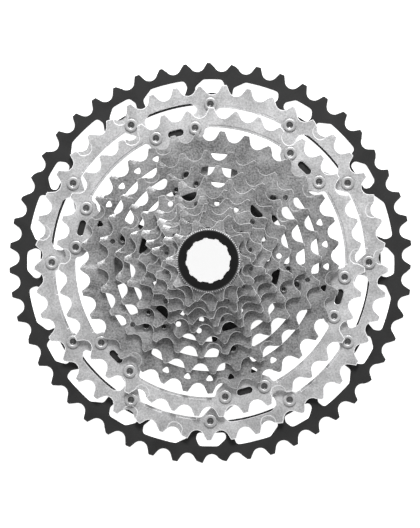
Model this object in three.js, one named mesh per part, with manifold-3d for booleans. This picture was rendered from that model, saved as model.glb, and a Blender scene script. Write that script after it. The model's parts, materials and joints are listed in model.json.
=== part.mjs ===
// Twelve-speed wide-range bicycle cassette, 10 to 51 teeth, in millimetres.
// +Z runs along the axle from the largest sprocket to the lockring. The origin is on the axle,
// on the back face of the 51-tooth sprocket. Angles are clock angles: degrees clockwise from +Y,
// seen from the lockring side.
import * as THREE from "three";
import { mergeVertices } from "three/addons/utils/BufferGeometryUtils.js";
import Module from "manifold-3d";

const wasm = await Module();
wasm.setup();

// ---- Driving dimensions -------------------------------------------------------------------

const CHAIN_PITCH = 12.7;
const ROLLER_RADIUS = 3.97;
const SPROCKET_SPACING = 3.65; // centre to centre along the axle
const PLATE = 1.6; // thickness of every sprocket
const GAP = 0.3; // clearance between faces that seat on each other
const HEAD = 0.8; // thickness of a rivet head
const JOIN = 1.0; // how far solids that make one piece reach into each other

const ARM_ANGLE = 45; // first of the six arms
const ARM_STEP = 60;
const OUTER_RIVET = { circle: 82.1, hole: 2.3, shank: 2.0, head: 3.3, boss: 4.6, spacing: 30 };
const INNER_RIVET = { circle: 70.0, hole: 2.3, shank: 2.0, head: 3.3, spread: 8.6 };
const MID_RIVET = { circle: 46.3, hole: 1.8, shank: 1.5, head: 2.6 };
const UPPER_RIVET = { circle: 40.8, hole: 1.3, shank: 1.0, head: 1.8, before: -9.8, after: 5.4 };

const BORE = 16.6; // splined bore that slides on the freehub
const SMALL_BORE = 13.3; // bore of the 10-tooth sprocket
const AXLE_HOLE = 11.2; // hole through the lockring

// Tooth number, clock angle of the first tooth, and the tooth kinds of one repeated sector.
const SPROCKETS = [
  { teeth: 51, phase: -7.4, pattern: "PNSFFFFFNSWFFFNFP" },
  { teeth: 45, phase: 4.5, pattern: "FFPNSFFFWNSFFFP" },
  { teeth: 39, phase: 0.5, pattern: "FPNSFFFFNSFFP" },
  { teeth: 33, phase: 5.4, pattern: "FFPNSFFNSFP" },
  { teeth: 28, phase: 11.3, pattern: "FPNSFFF" },
  { teeth: 24, phase: 5.2, pattern: "FPNSFFFF" },
  { teeth: 21, phase: 14.8, pattern: "FFPNSFF" },
  { teeth: 18, phase: 13.4, pattern: "FFPNSFFFF" },
  { teeth: 16, phase: 16.5, pattern: "FPNSFFFF" },
  { teeth: 14, phase: 23.5, pattern: "FPSFFFF" },
  { teeth: 12, phase: 26.0, pattern: "FPSFFF" },
  { teeth: 10, phase: 18.0, pattern: "FFFFF" },
];

// A tooth top runs from its left corner to its right corner. Offsets are along the rim from the
// tooth's centre line, and rises are above the bottom of the tooth gap.
const TOOTH_KINDS = {
  F: { left: -1.3, leftRise: 5.2, right: 1.3, rightRise: 5.2 }, // full
  P: { left: -0.7, leftRise: 4.5, right: 0.7, rightRise: 4.5 }, // pointed
  N: { left: -1.2, leftRise: 4.6, right: 0.5, rightRise: 4.4 }, // narrow, cut back on the right
  S: { left: -1.3, leftRise: 4.1, right: 0.9, rightRise: 3.4 }, // short, sloping to the right
  W: { left: -1.6, leftRise: 4.8, right: 1.5, rightRise: 3.8 }, // wide, with a long slope
};

// ---- Plane shapes -------------------------------------------------------------------------

const RADIANS = Math.PI / 180;

const polar = (radius, clock) =>
  new THREE.Vector2(radius * Math.sin(clock * RADIANS), radius * Math.cos(clock * RADIANS));

const pitchRadius = (teeth) => CHAIN_PITCH / (2 * Math.sin(Math.PI / teeth));

const rootRadius = (teeth) => pitchRadius(teeth) - ROLLER_RADIUS;

const backOf = (teeth) => SPROCKETS.findIndex((s) => s.teeth === teeth) * SPROCKET_SPACING;

const frontOf = (teeth) => backOf(teeth) + PLATE;

const repeat = (count, make) => Array.from({ length: count }, (_, index) => make(index));

const armAngles = repeat(6, (index) => ARM_ANGLE + index * ARM_STEP);

// A shape that runs counter-clockwise, as ExtrudeGeometry expects of an outline with holes.
const shapeOf = (points) =>
  new THREE.Shape(THREE.ShapeUtils.isClockWise(points) ? points.reverse() : points);

// Points of an arc about the axle, ends included.
function arc(radius, from, to, largestStep = 10) {
  const steps = Math.max(1, Math.ceil(Math.abs(to - from) / largestStep));
  return repeat(steps + 1, (index) => polar(radius, from + ((to - from) * index) / steps));
}

// A point at a tooth: offset along the rim, and radius.
function toothPoint(clock, offset, radius) {
  return polar(radius, clock + offset / radius / RADIANS);
}

// The roller seat between two teeth, centred on its clock angle, from the counter-clockwise side.
function rollerSeat(teeth, clock) {
  const centre = polar(pitchRadius(teeth), clock);
  const inward = centre.clone().normalize().negate();
  const along = new THREE.Vector2(-inward.y, inward.x);
  return [-60, 0, 60].map((turn) =>
    centre
      .clone()
      .addScaledVector(inward, ROLLER_RADIUS * Math.cos(turn * RADIANS))
      .addScaledVector(along, ROLLER_RADIUS * Math.sin(turn * RADIANS)),
  );
}

// The toothed outline of one sprocket.
function toothedShape({ teeth, phase, pattern }) {
  const step = 360 / teeth;
  const root = rootRadius(teeth);
  const points = repeat(teeth, (index) => {
    const clock = phase + index * step;
    const kind = TOOTH_KINDS[pattern[index % pattern.length]];
    return [
      toothPoint(clock, kind.left, root + kind.leftRise),
      toothPoint(clock, kind.right, root + kind.rightRise),
      ...rollerSeat(teeth, clock + step / 2),
    ];
  });
  return shapeOf(points.flat());
}

function discShape(clock, circle, radius, sides = 6) {
  const centre = polar(circle, clock);
  const corners = repeat(sides, (index) => polar(radius, (index + 0.5) * (360 / sides)).add(centre));
  return shapeOf(corners);
}

// A piece of a ring between two radii and two clock angles.
function sectorShape(inner, outer, from, to) {
  return shapeOf([...arc(outer, from, to), ...arc(inner, to, from)]);
}

// A shape that reaches windowRadius in the windows and only webRadius between them.
function windowedShape(windows, windowRadius, webRadius) {
  const points = windows.flatMap(([from, to], index) => {
    const next = windows[(index + 1) % windows.length][0];
    const webEnd = next > to ? next : next + 360;
    return [...arc(windowRadius, from, to), ...arc(webRadius, to + 2, webEnd - 2)];
  });
  return shapeOf(points);
}

// ---- Solids -------------------------------------------------------------------------------

function extrude(shape, back, front) {
  const geometry = new THREE.ExtrudeGeometry(shape, { depth: front - back, bevelEnabled: false });
  return geometry.translate(0, 0, back);
}

function toSolid(geometry) {
  const bare = geometry.clone();
  bare.deleteAttribute("normal");
  bare.deleteAttribute("uv");
  const merged = mergeVertices(bare, 1e-4);
  return new wasm.Manifold(
    new wasm.Mesh({
      numProp: 3,
      vertProperties: new Float32Array(merged.attributes.position.array),
      triVerts: new Uint32Array(merged.index.array),
    }),
  );
}

function toGeometry(solid) {
  const { vertProperties, triVerts } = solid.getMesh();
  const geometry = new THREE.BufferGeometry();
  geometry.setAttribute("position", new THREE.BufferAttribute(vertProperties, 3));
  geometry.setIndex(new THREE.BufferAttribute(triVerts, 1));
  const faceted = geometry.toNonIndexed();
  faceted.computeVertexNormals();
  return faceted;
}

// Joins the first list of geometries and takes away the second.
function build(added, removed = []) {
  const joined = added.map(toSolid).reduce((sum, solid) => sum.add(solid));
  const cut = removed.map(toSolid).reduce((rest, solid) => rest.subtract(solid), joined);
  return toGeometry(cut);
}

// A solid of revolution about Z from (radius, height) pairs, which start and end on the axis.
function turned(profile, sides) {
  const points = profile.map(([radius, z]) => new THREE.Vector2(radius, z));
  return new THREE.LatheGeometry(points, sides).rotateX(Math.PI / 2);
}

// ---- Materials ----------------------------------------------------------------------------

const finish = (color, roughness, metalness) =>
  new THREE.MeshStandardMaterial({ color, roughness, metalness });

const blackAnodised = finish(0x1b1b1d, 0.5, 0.6);
const brightSilver = finish(0xc4c5c7, 0.35, 0.9);
const satinSteel = finish(0x8c8d90, 0.42, 0.9);
const rivetSteel = finish(0xa4a5a8, 0.35, 1.0);
const spacerGrey = finish(0x6f7073, 0.5, 0.6);
const blackGloss = finish(0x0c0c0d, 0.25, 0.5);

const cassette = new THREE.Group();

function addPart(name, geometry, material) {
  const mesh = new THREE.Mesh(geometry, material);
  mesh.name = name;
  cassette.add(mesh);
  return mesh;
}

// ---- Large cluster: 51, 45 and 39 teeth on the rear spider ---------------------------------

const specOf = (teeth) => SPROCKETS.find((s) => s.teeth === teeth);

const outerRivetAngles = repeat(12, (index) => index * OUTER_RIVET.spacing);
const innerRivetAngles = armAngles.flatMap((arm) => [
  arm - INNER_RIVET.spread,
  arm + INNER_RIVET.spread,
]);

const BELOW = -5; // cutters start here and end above every plate
const ABOVE = 60;

const cutter = (shape) => extrude(shape, BELOW, ABOVE);

const borer = (radius, sides = 18) => cutter(discShape(0, 0, radius, sides));

// A flat ring about the axle.
const ring = (inner, outer, back, front) =>
  build([extrude(discShape(0, 0, outer, 18), back, front)], [borer(inner)]);

// The toothed blank of one sprocket, before it is bored.
const blank = (teeth) => extrude(toothedShape(specOf(teeth)), backOf(teeth), frontOf(teeth));

const holesAt = (angles, { circle, hole }) =>
  angles.map((clock) => cutter(discShape(clock, circle, hole)));

function sprocket51() {
  const rimInner = 95.1;
  const bandInner = 82.0;
  const smallInner = 88.2;
  const largeInner = 85.8;
  const shoulder = 91.3; // the openings are widest here
  const smallOpenings = outerRivetAngles.map((clock) =>
    cutter(
      shapeOf([
        ...arc(rimInner, clock - 2.3, clock + 3.6),
        polar(shoulder, clock + 4.8),
        ...arc(smallInner, clock + 4.4, clock - 4.8),
        polar(shoulder, clock - 5.2),
      ]),
    ),
  );
  const largeOpenings = outerRivetAngles.map((clock) =>
    cutter(
      shapeOf([
        ...arc(rimInner, clock + 11.0, clock + 21.8),
        polar(shoulder, clock + 22.4),
        ...arc(largeInner, clock + 20.4, clock + 7.4),
        polar(shoulder, clock + 7.4),
      ]),
    ),
  );
  const bossTop = backOf(45) - GAP;
  const bosses = outerRivetAngles.map((clock) =>
    extrude(discShape(clock, OUTER_RIVET.circle, OUTER_RIVET.boss, 8), 0, bossTop),
  );
  const rim = build([blank(51)], [borer(bandInner, 48), ...smallOpenings, ...largeOpenings]);
  return build([rim, ...bosses], holesAt(outerRivetAngles, OUTER_RIVET));
}

// Six equal cells make one closed outline. cell gives the points of the arm at its clock angle.
const sixfold = (cell) => shapeOf(armAngles.flatMap(cell));

function sprocket45() {
  const bandInner = 80.4;
  const windowOuter = 83.0;
  const windowInner = 74.5;
  // The middle hole follows the rim between two arms and passes inside the rivet pair of each arm.
  const middle = sixfold((arm) => [
    polar(bandInner, arm - 18.4),
    polar(73, arm - 13.4),
    polar(67, arm - 12.2),
    ...arc(65.2, arm - 8.6, arm + 8.6),
    polar(67, arm + 12.2),
    polar(73, arm + 13.4),
    ...arc(bandInner, arm + 18.4, arm + 41.6),
  ]);
  const windows = armAngles.map((arm) =>
    cutter(
      shapeOf([
        ...arc(windowOuter, arm - 7.5, arm + 8),
        polar(79.5, arm + 10.8),
        ...arc(windowInner, arm + 5, arm - 5),
        polar(76.5, arm - 10.3),
        polar(81, arm - 10),
      ]),
    ),
  );
  const rivetHoles = [
    ...holesAt(outerRivetAngles, OUTER_RIVET),
    ...holesAt(innerRivetAngles, INNER_RIVET),
  ];
  return build([blank(45)], [cutter(middle), ...windows, ...rivetHoles]);
}

function sprocket39() {
  const bandInner = 69.8;
  const slot = { inner: 67.3, outer: 70.7, reach: 3.1 };
  const middle = sixfold((arm) => [
    polar(66.5, arm - 12.3),
    ...arc(62.6, arm - 8.5, arm + 8.5),
    polar(66.5, arm + 12.3),
    ...arc(bandInner, arm + 13, arm + 47),
  ]);
  const slots = armAngles.map((arm) =>
    cutter(sectorShape(slot.inner, slot.outer, arm - slot.reach, arm + slot.reach)),
  );
  return build([blank(39)], [cutter(middle), ...slots, ...holesAt(innerRivetAngles, INNER_RIVET)]);
}

function rearSpider() {
  const back = 2.5;
  const hubOuter = 25;
  const hubFront = backOf(33) - GAP;
  const ribEnd = 63;
  const hubHalf = 13; // half the angle that an arm takes up on the hub
  const armFront = backOf(39) - GAP;
  const endBack = frontOf(45) + GAP;
  const hub = extrude(discShape(0, 0, hubOuter, 18), back, hubFront);
  const ribs = sixfold((arm) => [
    polar(hubOuter - JOIN, arm - hubHalf),
    polar(ribEnd, arm - 5),
    polar(ribEnd, arm + 5),
    polar(hubOuter - JOIN, arm + hubHalf),
  ]);
  const arms = sixfold((arm) => [
    polar(hubOuter - JOIN, arm - hubHalf),
    polar(58, arm - 5.4),
    polar(65.6, arm - 11),
    polar(70, arm - 12.6),
    ...arc(74.2, arm - 10.5, arm + 10.5),
    polar(70, arm + 12.6),
    polar(65.6, arm + 11),
    polar(58, arm + 5.4),
    polar(hubOuter - JOIN, arm + hubHalf),
  ]);
  return build(
    [hub, extrude(ribs, back, endBack + JOIN), extrude(arms, endBack, armFront)],
    [borer(BORE), ...holesAt(innerRivetAngles, INNER_RIVET)],
  );
}

// A rivet with a head in front of the front plate. With a tail it is also formed over at the
// back, otherwise its shank ends inside the back plate.
function rivet({ shank, head }, back, front, tailed) {
  const tailFront = back - GAP;
  const headBack = front + GAP;
  const tail = [[0, tailFront - HEAD], [head, tailFront - HEAD], [head, tailFront], [shank, tailFront]];
  const plainEnd = [[0, back + GAP], [shank, back + GAP]];
  const cap = [[shank, headBack], [head, headBack], [head, headBack + HEAD], [0, headBack + HEAD]];
  return turned([...(tailed ? tail : plainEnd), ...cap], 6);
}

function addRivets(name, angles, size, back, front, tailed) {
  angles.forEach((clock, index) => {
    const mesh = addPart(`${name}_${index + 1}`, rivet(size, back, front, tailed), rivetSteel);
    const place = polar(size.circle, clock);
    mesh.position.set(place.x, place.y, 0);
  });
}

addPart("sprocket_51t", sprocket51(), blackAnodised);
addPart("sprocket_45t", sprocket45(), brightSilver);
addPart("sprocket_39t", sprocket39(), brightSilver);
addPart("rear_spider", rearSpider(), blackAnodised);
addRivets("outer_rivet", outerRivetAngles, OUTER_RIVET, backOf(51), frontOf(45), false);
addRivets("inner_rivet", innerRivetAngles, INNER_RIVET, backOf(45), frontOf(39), true);

// ---- Middle cluster: 33, 28 and 24 teeth on their own carrier --------------------------------

// Clock angles of the open windows between the webs that reach in to the carrier.
const WINDOWS_33 = [[0, 12], [53, 96], [116, 157], [172, 213], [234, 255], [297, 331]];
const WINDOWS_28 = [[-5, 17], [54, 91], [125, 153], [175, 200], [236, 273], [296, 332]];

const MID_WEB = 43.0; // the 33 and 28 tooth webs end here
const UPPER_WEB = 38.3; // the 24 tooth webs end here
const CARRIER_HUB = 24;

// Every other arm has two of the small rivets.
const upperRivetAngles = armAngles
  .filter((_, index) => index % 2 === 1)
  .flatMap((arm) => [arm + UPPER_RIVET.before, arm + UPPER_RIVET.after]);

const midHoles = holesAt(armAngles, MID_RIVET);
const upperHoles = holesAt(upperRivetAngles, UPPER_RIVET);

function webbedSprocket(teeth, windows, windowRadius, webRadius, holes) {
  return build([blank(teeth)], [cutter(windowedShape(windows, windowRadius, webRadius)), ...holes]);
}

function midCarrier() {
  const back = backOf(33);
  const front = backOf(21) - GAP;
  const armBack = frontOf(33) + GAP;
  const padEnd = MID_WEB - 0.5;
  const hub = extrude(discShape(0, 0, CARRIER_HUB, 18), back, front);
  const arms = sixfold((arm) => [
    polar(CARRIER_HUB - JOIN, arm - 15),
    polar(50, arm - 6.5),
    polar(50, arm + 6.5),
    polar(CARRIER_HUB - JOIN, arm + 15),
  ]);
  const pads = sixfold((arm) => [
    polar(CARRIER_HUB - JOIN, arm - 18),
    polar(padEnd, arm - 13),
    polar(padEnd, arm + 13),
    polar(CARRIER_HUB - JOIN, arm + 18),
  ]);
  return build(
    [hub, extrude(arms, armBack, backOf(28) - GAP), extrude(pads, armBack, backOf(24) - GAP)],
    [borer(BORE), ...midHoles, ...upperHoles],
  );
}

addPart("sprocket_33t", webbedSprocket(33, WINDOWS_33, 56.3, MID_WEB, midHoles), satinSteel);
addPart("sprocket_28t", webbedSprocket(28, WINDOWS_28, 49.2, MID_WEB, midHoles), satinSteel);
addPart("sprocket_24t", webbedSprocket(24, WINDOWS_28, 41.2, UPPER_WEB, upperHoles), satinSteel);
addPart("mid_carrier", midCarrier(), blackAnodised);
addRivets("mid_rivet", armAngles, MID_RIVET, backOf(33), frontOf(28), true);
addRivets("upper_rivet", upperRivetAngles, UPPER_RIVET, frontOf(33) + GAP, frontOf(24), true);

// ---- Loose sprockets and their spacers -------------------------------------------------------

const SPACER_RIM = 19.2;
const SMALL_SPACER_RIM = 16.2;

function sprocket21() {
  const pocketShift = -2; // the pockets show the carrier arms behind
  const pockets = armAngles.map((arm) => {
    const pocket = arm + pocketShift;
    return cutter(sectorShape(32.8, 36.6, pocket - 6.5, pocket + 6.5));
  });
  const windows = armAngles.map((arm) => cutter(sectorShape(25, 31, arm + 12, arm + 48)));
  return build([blank(21)], [borer(BORE), ...pockets, ...windows]);
}

const plainSprocket = (teeth, bore) => build([blank(teeth)], [borer(bore)]);

// A ring that fills the space between two neighbouring sprockets.
const spacer = (behind, ahead, inner, outer) =>
  ring(inner, outer, frontOf(behind) + GAP, backOf(ahead) - GAP);

addPart("sprocket_21t", sprocket21(), satinSteel);
addPart("spacer_21_18", spacer(21, 18, BORE, SPACER_RIM), spacerGrey);
addPart("sprocket_18t", plainSprocket(18, BORE), satinSteel);
addPart("spacer_18_16", spacer(18, 16, BORE, SPACER_RIM), spacerGrey);
addPart("sprocket_16t", plainSprocket(16, BORE), satinSteel);
addPart("spacer_16_14", spacer(16, 14, BORE, SPACER_RIM), spacerGrey);
addPart("sprocket_14t", plainSprocket(14, BORE), satinSteel);
addPart("spacer_14_12", spacer(14, 12, BORE, SPACER_RIM), spacerGrey);
addPart("sprocket_12t", plainSprocket(12, BORE), satinSteel);
addPart("spacer_12_10", spacer(12, 10, SMALL_BORE, SMALL_SPACER_RIM), spacerGrey);
addPart("sprocket_10t", plainSprocket(10, SMALL_BORE), satinSteel);

// ---- Lockring and its toothed washer ---------------------------------------------------------

const WASHER = { rim: 16.4, thickness: 0.7 };
const LOCKRING = {
  rim: 15.9,
  stemRim: 13.0,
  stemBack: 36.0,
  flange: 2.0,
  splines: 12,
  splineDepth: 0.5,
};

const washerBack = frontOf(10) + GAP;
const flangeBack = washerBack + WASHER.thickness + GAP;

function lockring() {
  const hole = repeat(LOCKRING.splines * 2, (index) =>
    polar(AXLE_HOLE + (index % 2) * LOCKRING.splineDepth, index * (180 / LOCKRING.splines)),
  );
  const flangeFront = flangeBack + LOCKRING.flange;
  const flange = extrude(discShape(0, 0, LOCKRING.rim, 24), flangeBack, flangeFront);
  const stem = extrude(discShape(0, 0, LOCKRING.stemRim, 24), LOCKRING.stemBack, flangeBack + JOIN);
  return build([flange, stem], [cutter(shapeOf(hole))]);
}

const lockWasher = ring(SMALL_BORE, WASHER.rim, washerBack, washerBack + WASHER.thickness);
addPart("lock_washer", lockWasher, rivetSteel);
addPart("lockring", lockring(), blackGloss);

export default cassette;
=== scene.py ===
"""Looks of a twelve-speed bicycle cassette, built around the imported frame.

Shapes are drawn in millimetres as plane outlines and turned into metres when a mesh is made.
Angles are clock angles: degrees clockwise from +Y, seen from the lockring side.
"""
import json
import math

import bmesh
import bpy
from mathutils import Matrix, Vector, geometry


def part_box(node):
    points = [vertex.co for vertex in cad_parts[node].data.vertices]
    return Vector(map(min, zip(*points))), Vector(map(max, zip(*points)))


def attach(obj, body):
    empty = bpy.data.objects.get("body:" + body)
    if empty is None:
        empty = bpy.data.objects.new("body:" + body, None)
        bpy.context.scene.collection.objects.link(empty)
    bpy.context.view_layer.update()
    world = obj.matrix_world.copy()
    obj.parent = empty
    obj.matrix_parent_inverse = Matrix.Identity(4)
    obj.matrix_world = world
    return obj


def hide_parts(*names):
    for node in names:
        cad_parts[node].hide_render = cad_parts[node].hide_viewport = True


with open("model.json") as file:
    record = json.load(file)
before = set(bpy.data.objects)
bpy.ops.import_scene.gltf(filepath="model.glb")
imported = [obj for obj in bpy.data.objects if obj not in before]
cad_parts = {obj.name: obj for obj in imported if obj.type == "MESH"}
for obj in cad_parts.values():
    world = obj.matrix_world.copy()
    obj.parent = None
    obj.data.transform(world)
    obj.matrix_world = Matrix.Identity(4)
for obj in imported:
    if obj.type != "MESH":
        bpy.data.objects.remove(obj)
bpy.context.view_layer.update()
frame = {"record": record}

MM = 0.001

# ---- Camera -----------------------------------------------------------------------------

CAMERA_DISTANCE = 5.0
VIEW_LENGTH = 0.2736  # what the long side of the picture spans at the back face
AIM = Vector((-0.00036, -0.00065, 0.0))
DIRECTION = Vector((0.0289, -0.0253, 1.0)).normalized()
SENSOR = 36.0

camera_data = bpy.data.cameras.new("camera")
camera_data.sensor_width = SENSOR
camera_data.lens = SENSOR * CAMERA_DISTANCE / VIEW_LENGTH
camera_data.clip_end = 20.0
camera = bpy.data.objects.new("camera", camera_data)
camera.location = AIM + DIRECTION * CAMERA_DISTANCE
right = Vector((0, 1, 0)).cross(DIRECTION).normalized()
camera.rotation_euler = Matrix((right, DIRECTION.cross(right), DIRECTION)).transposed().to_euler()
bpy.context.scene.collection.objects.link(camera)
bpy.context.scene.camera = camera

# ---- Dimensions shared with the CAD model -------------------------------------------------

CHAIN_PITCH = 12.7
ROLLER_RADIUS = 3.97
PLATE = 1.6

# teeth: clock angle of the first tooth, tooth kinds of one repeated sector
SPROCKETS = {
    51: (-7.4, "PNSFFFFFNSWFFFNFP"),
    45: (4.5, "FFPNSFFFWNSFFFP"),
    39: (0.5, "FPNSFFFFNSFFP"),
    33: (5.4, "FFPNSFFNSFP"),
    28: (11.3, "FPNSFFF"),
    24: (5.2, "FPNSFFFF"),
    21: (14.8, "FFPNSFF"),
    18: (13.4, "FFPNSFFFF"),
    16: (16.5, "FPNSFFFF"),
    14: (23.5, "FPSFFFF"),
    12: (26.0, "FPSFFF"),
    10: (18.0, "FFFFF"),
}

# offset along the rim and rise above the root, for the left and the right corner of a tooth
TOOTH_KINDS = {
    "F": (-1.3, 5.2, 1.3, 5.2),
    "P": (-0.7, 4.5, 0.7, 4.5),
    "N": (-1.2, 4.6, 0.5, 4.4),
    "S": (-1.3, 4.1, 0.9, 3.4),
    "W": (-1.6, 4.8, 1.5, 3.8),
}

OUTER_CIRCLE, INNER_CIRCLE, MID_CIRCLE, UPPER_CIRCLE = 82.1, 70.0, 46.3, 40.8  # of rivets
RIVET_HOLE, MID_HOLE, UPPER_HOLE = 2.3, 1.8, 1.3  # radii

ARMS = [45 + 60 * k for k in range(6)]
OUTER_RIVETS = [30 * k for k in range(12)]
INNER_RIVETS = [arm + side * 8.6 for arm in ARMS for side in (-1, 1)]
UPPER_RIVETS = [arm + side for arm in ARMS[1::2] for side in (-9.8, 5.4)]
BORE = 16.6
SMALL_BORE = 13.3
SPLINE_TIP, SPLINE_ROOT, SPLINES = 16.2, 17.1, 23
SPACER_RIM, SMALL_SPACER_RIM = 19.2, 16.2
WASHER_RIM, WASHER_TEETH = 16.4, 90
LOCKRING_RIM, LOCKRING_STEM, THREAD_PITCH = 15.75, 13.0, 1.0

# ---- Plane outlines -----------------------------------------------------------------------


def polar(radius, clock):
    angle = math.radians(clock)
    return Vector((radius * math.sin(angle), radius * math.cos(angle)))


def arc(radius, start, end, step=2.5):
    count = max(1, math.ceil(abs(end - start) / step))
    return [polar(radius, start + (end - start) * i / count) for i in range(count + 1)]


def disc(radius, clock=0.0, circle=0.0, sides=32):
    centre = polar(circle, clock)
    return [centre + polar(radius, 360 * i / sides) for i in range(sides)]


def sector(inner, outer, start, end):
    return arc(outer, start, end) + arc(inner, end, start)


def area(loop):
    return sum(a.x * b.y - b.x * a.y for a, b in zip(loop, loop[1:] + loop[:1])) / 2


def softened(loop, radius, sharp=20.0):
    """The loop with its sharp corners rounded."""
    result = []
    for i, here in enumerate(loop):
        before, after = loop[i - 1], loop[(i + 1) % len(loop)]
        arrive, leave = here - before, after - here
        if arrive.length < 1e-6:
            continue
        turn = abs(arrive.angle_signed(leave)) if leave.length > 1e-6 else 0
        if math.degrees(turn) < sharp:
            result.append(here)
            continue
        cut = radius * math.tan(min(turn, 2.6) / 2)
        start = here - arrive * min(0.48, cut / arrive.length)
        end = here + leave * min(0.48, cut / leave.length)
        count = 2 + int(math.degrees(turn) // 25)
        for k in range(count + 1):
            t = k / count
            result.append(start * (1 - t) ** 2 + here * 2 * t * (1 - t) + end * t * t)
    return result


def inset(loop, distance):
    """The loop moved towards its left side, with mitred corners."""
    result = []
    for i, here in enumerate(loop):
        arrive = (here - loop[i - 1]).normalized()
        leave = (loop[(i + 1) % len(loop)] - here).normalized()
        left = Vector((-arrive.y - leave.y, arrive.x + leave.x))
        if left.length < 1e-6:
            left = Vector((-arrive.y, arrive.x))
        left.normalize()
        stretch = max(0.5, left.dot(Vector((-arrive.y, arrive.x))))
        result.append(here + left * (distance / stretch))
    return result


def pitch_radius(teeth):
    return CHAIN_PITCH / (2 * math.sin(math.pi / teeth))


def root_radius(teeth):
    return pitch_radius(teeth) - ROLLER_RADIUS


def tooth_point(clock, offset, radius):
    return polar(radius, clock + math.degrees(offset / radius))


def roller_seat(teeth, clock):
    centre = polar(pitch_radius(teeth), clock)
    inward = -centre.normalized()
    along = Vector((-inward.y, inward.x))
    points = []
    for turn in range(-60, 61, 12):
        angle = math.radians(turn)
        points.append(
            centre
            + inward * (ROLLER_RADIUS * math.cos(angle))
            + along * (ROLLER_RADIUS * math.sin(angle))
        )
    return points


def toothed(teeth):
    phase, pattern = SPROCKETS[teeth]
    step = 360 / teeth
    root = root_radius(teeth)
    loop = []
    for i in range(teeth):
        clock = phase + i * step
        left, left_rise, right, right_rise = TOOTH_KINDS[pattern[i % len(pattern)]]
        tip = [
            tooth_point(clock, left, root + left_rise),
            tooth_point(clock, right, root + right_rise),
        ]
        loop += tip + roller_seat(teeth, clock + step / 2)
    return softened(loop, 0.45, 30)


def windowed(windows, window_radius, web_radius):
    loop = []
    for i, (start, end) in enumerate(windows):
        following = windows[(i + 1) % len(windows)][0]
        web_end = following if following > end else following + 360
        loop += arc(window_radius, start, end)
        loop += arc(web_radius, end + 2, web_end - 2)
    return softened(loop, 2.2)


def sixfold(cell, radius):
    loop = []
    for arm in ARMS:
        loop += cell(arm)
    return softened(loop, radius)


# ---- Meshes -------------------------------------------------------------------------------


def plate(outer, holes, back, front, bevel=0.25, back_bevel=None):
    """Vertices and faces of a closed plate with holes and bevelled rims."""
    back_bevel = bevel if back_bevel is None else back_bevel
    loops = [outer if area(outer) > 0 else outer[::-1]]
    loops += [hole if area(hole) < 0 else hole[::-1] for hole in holes]
    count = sum(len(loop) for loop in loops)
    low = [p for loop in loops for p in inset(loop, back_bevel)]
    full = [p for loop in loops for p in loop]
    high = [p for loop in loops for p in inset(loop, bevel)]
    levels = [(low, back), (full, back + back_bevel), (full, front - bevel), (high, front)]
    vertices = [(p.x, p.y, z) for points, z in levels for p in points]
    faces = []
    for level in range(3):
        base = level * count
        start = 0
        for loop in loops:
            size = len(loop)
            for i in range(size):
                a, b = base + start + i, base + start + (i + 1) % size
                faces.append((a, b, b + count, a + count))
            start += size
    for points, base in ((low, 0), (high, 3 * count)):
        starts = []
        start = 0
        for loop in loops:
            starts.append([Vector((p.x, p.y, 0)) for p in points[start:start + len(loop)]])
            start += len(loop)
        for corners in geometry.tessellate_polygon(starts):
            faces.append(tuple(base + corner for corner in corners))
    return vertices, faces


def turned(profile, sides=48, centre=(0.0, 0.0)):
    """A closed solid of revolution from (radius, z) pairs. A radius of 0 ends on the axis."""
    vertices = []
    rows = []
    for radius, z in profile:
        if radius == 0:
            rows.append([len(vertices)] * sides)
            vertices.append((centre[0], centre[1], z))
            continue
        rows.append(range(len(vertices), len(vertices) + sides))
        for p in disc(radius, sides=sides):
            vertices.append((centre[0] + p.x, centre[1] + p.y, z))
    faces = []
    closed = profile[0][0] != 0
    pairs = list(zip(rows, rows[1:])) + ([(rows[-1], rows[0])] if closed else [])
    for lower, upper in pairs:
        for i in range(sides):
            j = (i + 1) % sides
            corners = [lower[j], lower[i], upper[i], upper[j]]
            face = [c for k, c in enumerate(corners) if c not in corners[:k]]
            if len(face) > 2:
                faces.append(face)
    return vertices, faces


def prism(bottom, top):
    """A closed prism between two rings of the same number of 3-D points."""
    size = len(bottom)
    faces = [tuple(range(size))[::-1], tuple(range(size, 2 * size))]
    faces += [(i, (i + 1) % size, (i + 1) % size + size, i + size) for i in range(size)]
    return bottom + top, faces


def mesh_of(parts):
    """One mesh in metres from several lists of vertices and faces in millimetres."""
    vertices, faces = [], []
    for points, polygons in parts:
        base = len(vertices)
        vertices += [tuple(c * MM for c in p) for p in points]
        faces += [tuple(base + i for i in polygon) for polygon in polygons]
    mesh = bpy.data.meshes.new("shape")
    mesh.from_pydata(vertices, [], faces)
    mesh.validate()
    shell = bmesh.new()
    shell.from_mesh(mesh)
    bmesh.ops.recalc_face_normals(shell, faces=shell.faces)
    if any(len(edge.link_faces) != 2 for edge in shell.edges):
        raise ValueError("an outline crosses itself")
    shell.to_mesh(mesh)
    shell.free()
    return mesh


def combined(mesh, parts, operation):
    """The mesh joined with, or cut by, other closed parts."""
    if not parts:
        return mesh
    target = bpy.data.objects.new("target", mesh)
    tool = bpy.data.objects.new("tool", mesh_of(parts))
    for obj in (target, tool):
        bpy.context.scene.collection.objects.link(obj)
    modifier = target.modifiers.new("combine", "BOOLEAN")
    modifier.operation = operation
    modifier.solver = "MANIFOLD"
    modifier.object = tool
    bpy.context.view_layer.update()
    evaluated = target.evaluated_get(bpy.context.evaluated_depsgraph_get())
    result = bpy.data.meshes.new_from_object(evaluated)
    for obj in (target, tool):
        bpy.data.objects.remove(obj)
    return result


# ---- Materials ----------------------------------------------------------------------------


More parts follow.
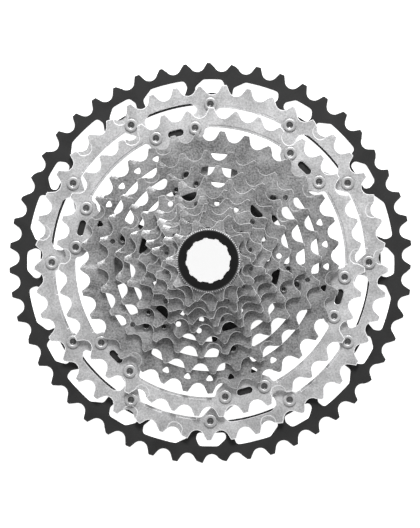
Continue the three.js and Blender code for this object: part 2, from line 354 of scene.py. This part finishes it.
class Graph:
    """Short calls for making one node material."""

    def __init__(self, name):
        self.material = bpy.data.materials.new(name)
        self.material.use_nodes = True
        self.tree = self.material.node_tree
        self.shader = self.tree.nodes["Principled BSDF"]
        coordinates = self.tree.nodes.new("ShaderNodeTexCoord")
        self.place = coordinates.outputs["Object"]

    def link(self, source, target):
        self.tree.links.new(source, target)

    def noise(self, scale, detail=4.0, roughness=0.55):
        node = self.tree.nodes.new("ShaderNodeTexNoise")
        node.inputs["Scale"].default_value = scale
        node.inputs["Detail"].default_value = detail
        node.inputs["Roughness"].default_value = roughness
        self.link(self.place, node.inputs["Vector"])
        return node.outputs["Fac"]

    def spread(self, source, low, high, start=0.3, end=0.7):
        node = self.tree.nodes.new("ShaderNodeMapRange")
        node.inputs["From Min"].default_value = start
        node.inputs["From Max"].default_value = end
        node.inputs["To Min"].default_value = low
        node.inputs["To Max"].default_value = high
        self.link(source, node.inputs["Value"])
        return node.outputs["Result"]

    def math(self, operation, first, second):
        node = self.tree.nodes.new("ShaderNodeMath")
        node.operation = operation
        for socket, value in zip(node.inputs, (first, second)):
            if isinstance(value, (int, float)):
                socket.default_value = value
            else:
                self.link(value, socket)
        return node.outputs[0]

    def blend(self, factor, first, second):
        node = self.tree.nodes.new("ShaderNodeMix")
        node.data_type = "RGBA"
        node.inputs["A"].default_value = (*first, 1)
        node.inputs["B"].default_value = (*second, 1)
        self.link(factor, node.inputs["Factor"])
        return node.outputs["Result"]

    def bump(self, height, strength, distance):
        node = self.tree.nodes.new("ShaderNodeBump")
        node.inputs["Strength"].default_value = strength
        node.inputs["Distance"].default_value = distance
        self.link(height, node.inputs["Height"])
        return node.outputs["Normal"]


def metal(name, dark, light, rough, grain, metallic, blotch=90.0, relief=0.35):
    """A blasted and plated metal: fine grain, soft blotches and slightly uneven gloss."""
    g = Graph(name)
    fine = g.noise(grain, 3.0, 0.6)
    broad = g.noise(blotch, 4.0, 0.5)
    mixed = g.math("ADD", g.math("MULTIPLY", fine, 0.62), g.math("MULTIPLY", broad, 0.38))
    colour = g.blend(g.spread(mixed, 0.0, 1.0, 0.36, 0.64), dark, light)
    g.link(colour, g.shader.inputs["Base Color"])
    g.link(g.spread(broad, rough - 0.06, rough + 0.06), g.shader.inputs["Roughness"])
    g.link(g.bump(fine, relief, 0.0002), g.shader.inputs["Normal"])
    g.shader.inputs["Metallic"].default_value = metallic
    return g.material


def grey(value):
    return (value, value, value * 1.01)


MATERIALS = {
    "black_anodised": metal("black_anodised", grey(0.007), grey(0.014), 0.5, 2600, 0.0),
    "bright_silver": metal("bright_silver", grey(0.46), grey(0.8), 0.42, 1100, 0.6),
    "satin_steel": metal("satin_steel", grey(0.15), grey(0.5), 0.4, 1100, 0.6, relief=0.6),
    "rivet_steel": metal("rivet_steel", grey(0.42), grey(0.6), 0.4, 2000, 0.4, relief=0.2),
    # painted shade: the mid and upper rivets are coloured dark, standing in for the shade in the
    # pits where they sit
    "painted_shade_rivet": metal("painted_shade_rivet", grey(0.1), grey(0.2), 0.4, 2000, 0.5, relief=0.2),
    "spacer_alloy": metal("spacer_alloy", grey(0.16), grey(0.26), 0.45, 2400, 0.6),
    "washer_steel": metal("washer_steel", grey(0.7), grey(0.85), 0.35, 2600, 0.5, relief=0.15),
    "black_gloss": metal("black_gloss", grey(0.004), grey(0.008), 0.2, 3200, 0.0, relief=0.08),
}
# second looks: painted highlights on bevels, chamfers and other tilted faces, partly the lighter
# polished cut edges, and painted shade in the rivet hollows
PAINTED_LIGHT_LOOKS = {
    "black_anodised": metal("black_edge_highlight", grey(0.012), grey(0.026), 0.4, 2600, 0.0),
    "bright_silver": metal("silver_edge_highlight", grey(0.84), grey(0.97), 0.35, 1900, 0.7, relief=0.2),
    "satin_steel": metal("steel_edge_highlight", grey(0.34), grey(0.7), 0.35, 1500, 0.8, relief=0.3),
    "rivet_steel": metal("rivet_hollow_shade", grey(0.1), grey(0.2), 0.25, 2600, 0.6, relief=0.2),
    "painted_shade_rivet": metal("painted_shade_rivet_hollow", grey(0.012), grey(0.03), 0.3, 2600, 0.4, relief=0.2),
    "washer_steel": metal("washer_edge_highlight", grey(0.85), grey(0.95), 0.4, 2600, 0.3, relief=0.1),
}
HIGHLIGHT_TILT = 0.95  # faces whose normal tilts more than this from the axle take the painted edge highlight

# ---- Pieces -------------------------------------------------------------------------------

BODY_OF = {
    node: body
    for body, nodes in frame["record"]["behaviour"]["bodies"].items()
    for node in nodes
}


def piece(node, mesh, slot, gets_painted_light=lambda polygon: False, look=None):
    """Puts a detailed mesh in the place of one CAD node. The look is the slot's unless given."""
    look = look or slot
    mesh.materials.clear()
    mesh.materials.append(MATERIALS[look])
    mesh.materials.append(PAINTED_LIGHT_LOOKS.get(look, MATERIALS[look]))
    mesh.name = node + "_detail"
    # the mask picks faces for the second look: painted highlight on tilted faces, painted shade in
    # rivet hollows
    for polygon in mesh.polygons:
        polygon.use_smooth = True
        polygon.material_index = int(gets_painted_light(polygon))
    mesh.set_sharp_from_angle(angle=math.radians(32))
    obj = bpy.data.objects.new(node + "_detail", mesh)
    bpy.context.scene.collection.objects.link(obj)
    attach(obj, BODY_OF[node])
    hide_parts(node)


# mask of the painted edge highlight: faces tilted away from the axle
def takes_edge_highlight(polygon):
    return abs(polygon.normal.z) < HIGHLIGHT_TILT


def back_of(node):
    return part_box(node)[0].z / MM


def front_of(node):
    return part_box(node)[1].z / MM


CHAMFER_WIDTH, CHAMFER_DROP = 2.8, 0.85


def tip_chamfers(teeth, front):
    """Cutters that slope the clockwise side of each front face, except on short teeth."""
    phase, pattern = SPROCKETS[teeth]
    root = root_radius(teeth)
    cutters = []
    for i in range(teeth):
        if pattern[i % len(pattern)] not in "NFP":
            continue
        clock = phase + i * 360 / teeth
        rings = []
        for radius, start in ((root + 1.6, 0.9), (root + 6.2, -0.1)):
            flat = tooth_point(clock, start, radius)
            low = tooth_point(clock, start + CHAMFER_WIDTH, radius)
            rings.append([
                (flat.x, flat.y, front),
                (low.x, low.y, front - CHAMFER_DROP),
                (low.x, low.y, front + 1),
                (flat.x, flat.y, front + 1),
            ])
        cutters.append(prism(rings[0], rings[1]))
    return cutters


def counterbores(angles, circle, rim, front, depth):
    """Round recesses in a front face, around the rivet heads."""
    cutters = []
    for clock in angles:
        profile = [(0, front - depth), (rim - 0.1, front - depth), (rim, front + 1), (0, front + 1)]
        cutters.append(turned(profile, 32, polar(circle, clock)))
    return cutters


def recess(loop, front, depth):
    """A cutter that sinks part of a front face, with a sloping wall."""
    return plate(loop, [], front - depth, front + 1, 0.1, depth)


# outline of a shift ramp: offset along the rim from its tooth, and rise above the root
RAMP = [
    (0.3, 6.0), (1.7, 2.4), (1.3, 0.2), (2.6, -1.8), (4.9, -2.9),
    (7.6, -2.6), (9.4, -0.4), (10.0, 2.6), (9.6, 6.4),
]


def ramps(teeth, front, depth=0.5, kinds="S"):
    """Cutters for the S-shaped shift ramps beside the short teeth."""
    phase, pattern = SPROCKETS[teeth]
    root = root_radius(teeth)
    cutters = []
    for i in range(teeth):
        if pattern[i % len(pattern)] in kinds:
            clock = phase + i * 360 / teeth
            loop = [tooth_point(clock, offset, root + rise) for offset, rise in RAMP]
            cutters.append(recess(softened(loop, 1.6), front, depth))
    return cutters


def splined_bore(inner, outer, count):
    """A bore with splines that reach inwards."""
    step = 360 / count
    loop = []
    for i in range(count):
        clock = i * step
        loop += [polar(outer, clock - step * 0.3), polar(outer, clock + step * 0.1)]
        loop += [polar(inner, clock + step * 0.24), polar(inner, clock + step * 0.56)]
    return loop


SPLINED = splined_bore(SPLINE_TIP, SPLINE_ROOT, SPLINES)


def make_51():
    node = "sprocket_51t"
    back = back_of(node)
    boss, circle = 4.6, OUTER_CIRCLE
    rim_inner, shoulder = 95.1, 91.3
    inner = []
    for clock in OUTER_RIVETS:
        centre = polar(circle, clock)
        for turn in range(-100, 101, 10):
            inner.append(centre + polar(boss, clock + 180 - turn))
        inner += arc(82.0, clock + 3.8, clock + 26.2)
    holes = [softened(inner, 1.0)]
    for clock in OUTER_RIVETS:
        small = arc(rim_inner, clock - 2.3, clock + 3.6) + [polar(shoulder, clock + 4.8)]
        small += arc(88.2, clock + 4.4, clock - 4.8) + [polar(shoulder, clock - 5.2)]
        large = arc(rim_inner, clock + 11.0, clock + 21.8) + [polar(shoulder, clock + 22.4)]
        large += arc(85.8, clock + 20.4, clock + 7.4) + [polar(shoulder, clock + 7.4)]
        holes += [softened(small, 2.4), softened(large, 2.4)]
        holes.append(disc(RIVET_HOLE, clock, circle, 20))
    mesh = mesh_of([plate(toothed(51), holes, back, back + PLATE, 0.3)])
    bosses = [
        plate(
            disc(boss, clock, circle),
            [disc(RIVET_HOLE, clock, circle, 20)],
            back + 0.4,
            front_of(node),
        )
        for clock in OUTER_RIVETS
    ]
    piece(node, combined(mesh, bosses, "UNION"), "black_anodised", takes_edge_highlight)


def make_45():
    node = "sprocket_45t"
    back, front = back_of(node), front_of(node)
    middle = sixfold(
        lambda arm: [polar(80.4, arm - 18.4), polar(73, arm - 13.4), polar(67, arm - 12.2)]
        + arc(65.2, arm - 8.6, arm + 8.6)
        + [polar(67, arm + 12.2), polar(73, arm + 13.4)]
        + arc(80.4, arm + 18.4, arm + 41.6),
        3.0,
    )
    holes = [middle]
    for arm in ARMS:
        window = arc(83, arm - 7.5, arm + 8) + [polar(79.5, arm + 10.8)]
        window += arc(74.5, arm + 5, arm - 5) + [polar(76.5, arm - 10.3), polar(81, arm - 10)]
        holes.append(softened(window, 2.5))
    holes += [disc(RIVET_HOLE, clock, OUTER_CIRCLE, 20) for clock in OUTER_RIVETS]
    holes += [disc(RIVET_HOLE, clock, INNER_CIRCLE, 20) for clock in INNER_RIVETS]
    mesh = mesh_of([plate(toothed(45), holes, back, front, 0.35)])
    cuts = counterbores(OUTER_RIVETS, OUTER_CIRCLE, 4.1, front, 0.2)
    for arm in ARMS:
        for start, end in ((20, 27.5), (33, 40)):
            cuts.append(recess(sector(78, 81.9, arm + start, arm + end), front, 0.45))
    mesh = combined(mesh, cuts, "DIFFERENCE")
    mesh = combined(mesh, ramps(45, front, 0.5, "SW"), "DIFFERENCE")
    piece(node, mesh, "bright_silver", takes_edge_highlight)


def slot_shape(clock, circle=69.0, half_width=1.7, reach=2.0):
    """An oval that follows a circle about the axle."""
    loop = arc(circle + half_width, clock - reach, clock + reach, 1)
    for end in (reach, -reach):
        centre = polar(circle, clock + end)
        side = 0 if end > 0 else 180
        loop += [centre + polar(half_width, clock + side + turn) for turn in range(15, 166, 15)]
        if end > 0:
            loop += arc(circle - half_width, clock + reach, clock - reach, 1)
    return loop


def make_39():
    node = "sprocket_39t"
    back, front = back_of(node), front_of(node)
    middle = sixfold(
        lambda arm: [polar(66.5, arm - 12.3)]
        + arc(62.6, arm - 8.5, arm + 8.5)
        + [polar(66.5, arm + 12.3)]
        + arc(69.8, arm + 13, arm + 47),
        2.0,
    )
    holes = [middle]
    holes += [slot_shape(arm) for arm in ARMS]
    holes += [disc(RIVET_HOLE, clock, INNER_CIRCLE, 20) for clock in INNER_RIVETS]
    mesh = mesh_of([plate(toothed(39), holes, back, front, 0.35)])
    cuts = counterbores(INNER_RIVETS, INNER_CIRCLE, 3.9, front, 0.2)
    cuts += [recess(sector(67, 71.3, arm + 14, arm + 46), front, 0.45) for arm in ARMS]
    mesh = combined(mesh, cuts, "DIFFERENCE")
    mesh = combined(mesh, ramps(39, front, 0.5), "DIFFERENCE")
    piece(node, mesh, "bright_silver", takes_edge_highlight)


def make_spider():
    node = "rear_spider"
    back, hub_front = back_of(node), front_of(node)
    arm_back, arm_front = front_of("sprocket_45t") + 0.3, back_of("sprocket_39t") - 0.3
    arms = sixfold(
        lambda arm: [polar(24, arm - 13), polar(58, arm - 5.4), polar(65.6, arm - 11)]
        + [polar(70, arm - 12.6)]
        + arc(74.2, arm - 10.5, arm + 10.5)
        + [polar(70, arm + 12.6), polar(65.6, arm + 11), polar(58, arm + 5.4), polar(24, arm + 13)],
        1.5,
    )
    ribs = sixfold(
        lambda arm: [
            polar(24, arm - 13), polar(63, arm - 5), polar(63, arm + 5), polar(24, arm + 13),
        ],
        1.5,
    )
    rivet_holes = [disc(RIVET_HOLE, clock, INNER_CIRCLE, 20) for clock in INNER_RIVETS]
    mesh = mesh_of([plate(arms, [SPLINED] + rivet_holes, arm_back, arm_front)])
    extra = [
        plate(ribs, [SPLINED], back, arm_back + 0.8),
        plate(disc(25, sides=72), [SPLINED], back, hub_front),
    ]
    for part in extra:
        mesh = combined(mesh, [part], "UNION")
    piece(node, mesh, "black_anodised")


WINDOWS_33 = [(0, 12), (53, 96), (116, 157), (172, 213), (234, 255), (297, 331)]
WINDOWS_28 = [(-5, 17), (54, 91), (125, 153), (175, 200), (236, 273), (296, 332)]
TEARDROPS_33 = [
    70.2, 81.2, 92.2, 102.8, 147.2, 158, 169.6, 180.2, 191.2, 202.2,
    289.2, 299.8, 310.8, 321.6, 332.4,
]
PITS_28 = [49.6, 100.4, 231, 282]


def teardrop(clock, radius):
    """A rounded triangle that points towards the axle."""
    wide = [polar(radius + 1.5, clock - 2.3), polar(radius + 1.5, clock + 2.3)]
    return softened(wide + [polar(radius - 2.1, clock)], 1.1)


def make_webbed(teeth, windows, window_radius, web_radius, holes):
    node = f"sprocket_{teeth}t"
    back, front = back_of(node), front_of(node)
    openings = [windowed(windows, window_radius, web_radius)] + holes
    mesh = mesh_of([plate(toothed(teeth), openings, back, front, 0.24)])
    mesh = combined(mesh, tip_chamfers(teeth, front), "DIFFERENCE")
    mesh = combined(mesh, ramps(teeth, front), "DIFFERENCE")
    piece(node, mesh, "satin_steel", takes_edge_highlight)


def make_carrier():
    node = "mid_carrier"
    back, front = back_of(node), front_of(node)
    arm_back = front_of("sprocket_33t") + 0.3
    arms = sixfold(
        lambda arm: [
            polar(23, arm - 15), polar(50, arm - 6.5), polar(50, arm + 6.5), polar(23, arm + 15),
        ],
        1.5,
    )
    pads = sixfold(
        lambda arm: [
            polar(23, arm - 18), polar(42.5, arm - 13), polar(42.5, arm + 13), polar(23, arm + 18),
        ],
        1.5,
    )
    rivets = [disc(MID_HOLE, arm, MID_CIRCLE, 16) for arm in ARMS]
    mesh = mesh_of([plate(arms, [SPLINED] + rivets, arm_back, back_of("sprocket_28t") - 0.3)])
    extra = [
        plate(pads, [SPLINED], arm_back, back_of("sprocket_24t") - 0.3),
        plate(disc(24, sides=72), [SPLINED], back, front),
    ]
    for part in extra:
        mesh = combined(mesh, [part], "UNION")
    piece(node, mesh, "black_anodised")


def make_plain(teeth, bore, holes):
    node = f"sprocket_{teeth}t"
    back, front = back_of(node), front_of(node)
    mesh = mesh_of([plate(toothed(teeth), [bore] + holes, back, front, 0.24)])
    mesh = combined(mesh, tip_chamfers(teeth, front), "DIFFERENCE")
    mesh = combined(mesh, ramps(teeth, front), "DIFFERENCE")
    piece(node, mesh, "satin_steel", takes_edge_highlight)


def make_ring(node, inner, outer, slot):
    rim = disc(outer, sides=72)
    piece(node, mesh_of([plate(rim, [inner], back_of(node), front_of(node), 0.2)]), slot)


def make_rivet(node, shank, head, hollow, look):
    """A rivet with a domed, hollowed head. The tail is formed over when the CAD rivet has one."""
    back, front = back_of(node), front_of(node)
    low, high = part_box(node)
    centre = ((low.x + high.x) / 2 / MM, (low.y + high.y) / 2 / MM)
    under = front - 0.8
    tail = [(0, back), (shank, back)]
    if node.split("_")[0] != "outer":
        tail = [(0, back), (head * 0.8, back), (head, back + 0.3)]
        tail += [(head, back + 0.8), (shank, back + 0.8)]
    cap = [
        (shank, under), (head, under), (head, under + 0.45), (head * 0.96, front - 0.12),
        (head * 0.86, front), (hollow + 0.25, front), (hollow, front - 0.15),
        (hollow * 0.9, front - 0.5), (hollow * 0.55, front - 0.65),
        (hollow * 0.4, front - 0.35), (0, front - 0.25),
    ]

    # faces inside the head hollow take the darker look: painted shade
    def in_shaded_hollow(polygon):
        middle = polygon.center / MM
        reach = math.hypot(middle.x - centre[0], middle.y - centre[1])
        return middle.z > front - 2 and reach < hollow

    piece(node, mesh_of([turned(tail + cap, 32, centre)]), "rivet_steel", in_shaded_hollow, look)


def make_rivets(name, count, shank, head, hollow, look=None):
    for i in range(count):
        make_rivet(f"{name}_{i + 1}", shank, head, hollow, look)


def make_washer():
    node = "lock_washer"
    back, front = back_of(node), front_of(node)
    valley = WASHER_RIM - 0.8
    rim = []
    for i in range(WASHER_TEETH):
        clock = i * 360 / WASHER_TEETH
        rim += [polar(WASHER_RIM, clock - 0.9), polar(WASHER_RIM, clock + 0.3)]
        rim += [polar(valley, clock + 1.1), polar(valley, clock + 2.3)]
    mesh = mesh_of([plate(rim, [disc(SMALL_BORE, sides=72)], back, front, 0.2)])
    piece(node, mesh, "washer_steel", takes_edge_highlight)


def make_lockring():
    node = "lockring"
    back, front = back_of(node), front_of(node)
    flange_back = front - 2.0
    hole = []
    for i in range(12):
        clock = 30 * i
        hole += arc(11.7, clock - 11, clock - 3, 2) + arc(11.1, clock + 1, clock + 15, 2)
    hole = softened(hole, 0.3)
    mesh = mesh_of([plate(disc(LOCKRING_RIM, sides=96), [hole], flange_back, front, 0.45, 0.15)])
    thread = [(11.75, back), (12.6, back)]
    z = back + 0.5
    while z < flange_back - 0.8:
        thread += [(LOCKRING_STEM, z), (LOCKRING_STEM - 0.5, z + THREAD_PITCH / 2)]
        z += THREAD_PITCH
    thread += [(12.9, flange_back + 0.4), (11.75, flange_back + 0.4)]
    mesh = combined(mesh, [turned(thread, 72)], "UNION")
    piece(node, mesh, "black_gloss")


make_51()
make_45()
make_39()
make_spider()
MID_HOLES = [disc(MID_HOLE, arm, MID_CIRCLE, 16) for arm in ARMS]
UPPER_HOLES = [disc(UPPER_HOLE, clock, UPPER_CIRCLE, 16) for clock in UPPER_RIVETS]
teardrops = [teardrop(clock, 60.0) for clock in TEARDROPS_33]
pits = [disc(1.3, clock, 51.3, 16) for clock in PITS_28]
make_webbed(33, WINDOWS_33, 56.3, 43.0, MID_HOLES + teardrops)
make_webbed(28, WINDOWS_28, 49.2, 43.0, MID_HOLES + pits)
make_webbed(24, WINDOWS_28, 41.2, 38.3, UPPER_HOLES)
make_carrier()
pockets = [softened(sector(32.8, 36.6, arm - 8.5, arm + 4.5), 1.2) for arm in ARMS]
windows = [softened(sector(25, 31, arm + 12, arm + 48), 2.0) for arm in ARMS]
round_holes = [disc(1.4, clock, 36.0, 20) for clock in (85.4, 188.6, 206.4, 326)]
make_plain(21, SPLINED, pockets + windows + round_holes)
make_plain(18, SPLINED, [disc(1.3, 7.5 + 20 * k, 30.2, 16) for k in range(18)])
make_plain(16, SPLINED, [])
make_plain(14, SPLINED, [disc(1.0, 23.5 + k * 360 / 14, 22.0, 16) for k in range(14)])
make_plain(12, SPLINED, [])
make_plain(10, disc(SMALL_BORE, sides=72), [])
for spacer in ("21_18", "18_16", "16_14", "14_12"):
    make_ring("spacer_" + spacer, disc(BORE, sides=72), SPACER_RIM, "spacer_alloy")
make_ring("spacer_12_10", disc(SMALL_BORE, sides=72), SMALL_SPACER_RIM, "spacer_alloy")
make_rivets("outer_rivet", 12, 2.0, 3.3, 1.75)
make_rivets("inner_rivet", 12, 2.0, 3.3, 1.75)
# the mid and upper rivets take the dark look, which is painted shade
make_rivets("mid_rivet", 6, 1.5, 2.6, 1.6, "painted_shade_rivet")
make_rivets("upper_rivet", 6, 1.1, 1.8, 1.1, "painted_shade_rivet")
make_washer()
make_lockring()

# ---- Studio -------------------------------------------------------------------------------

floor_mesh = bpy.data.meshes.new("floor")
FLOOR_HALF, FLOOR_LEVEL = 3, -0.0003
floor_corners = [
    (FLOOR_HALF * x, FLOOR_HALF * y, FLOOR_LEVEL) for x, y in ((-1, -1), (1, -1), (1, 1), (-1, 1))
]
floor_mesh.from_pydata(floor_corners, [], [(0, 1, 2, 3)])
floor_look = Graph("pale_floor")
floor_look.link(
    floor_look.blend(floor_look.noise(6.0), (0.9, 0.9, 0.9), (0.93, 0.93, 0.93)),
    floor_look.shader.inputs["Base Color"],
)
floor_look.shader.inputs["Roughness"].default_value = 0.9
floor_look.shader.inputs["Emission Color"].default_value = (1, 1, 1, 1)
floor_look.shader.inputs["Emission Strength"].default_value = 0.9
floor_mesh.materials.append(floor_look.material)
floor = bpy.data.objects.new("floor", floor_mesh)
bpy.context.scene.collection.objects.link(floor)


def soft_light(name, place, power, size):
    data = bpy.data.lights.new(name, "AREA")
    data.shape = "DISK"
    data.size = size
    data.energy = power
    light = bpy.data.objects.new(name, data)
    light.location = place
    light.rotation_euler = Vector(place).to_track_quat("Z", "Y").to_euler()
    bpy.context.scene.collection.objects.link(light)


soft_light("key", (0.1, 1.1, 1.2), 24.0, 0.6)

world = bpy.data.worlds.new("studio")
world.use_nodes = True
ZENITH, HORIZON = 0.22, 0.8
tree = world.node_tree
background = tree.nodes["Background"]
background.inputs["Color"].default_value = (1, 1, 1, 1)
direction = tree.nodes.new("ShaderNodeTexCoord")
height = tree.nodes.new("ShaderNodeSeparateXYZ")
fade = tree.nodes.new("ShaderNodeMapRange")
fade.inputs["From Min"].default_value = 0.4
fade.inputs["From Max"].default_value = 0.95
fade.inputs["To Min"].default_value = HORIZON
fade.inputs["To Max"].default_value = ZENITH
tree.links.new(direction.outputs["Generated"], height.inputs["Vector"])
tree.links.new(height.outputs["Z"], fade.inputs["Value"])
tree.links.new(fade.outputs["Result"], background.inputs["Strength"])
bpy.context.scene.world = world
bpy.context.scene.view_settings.view_transform = "Standard"
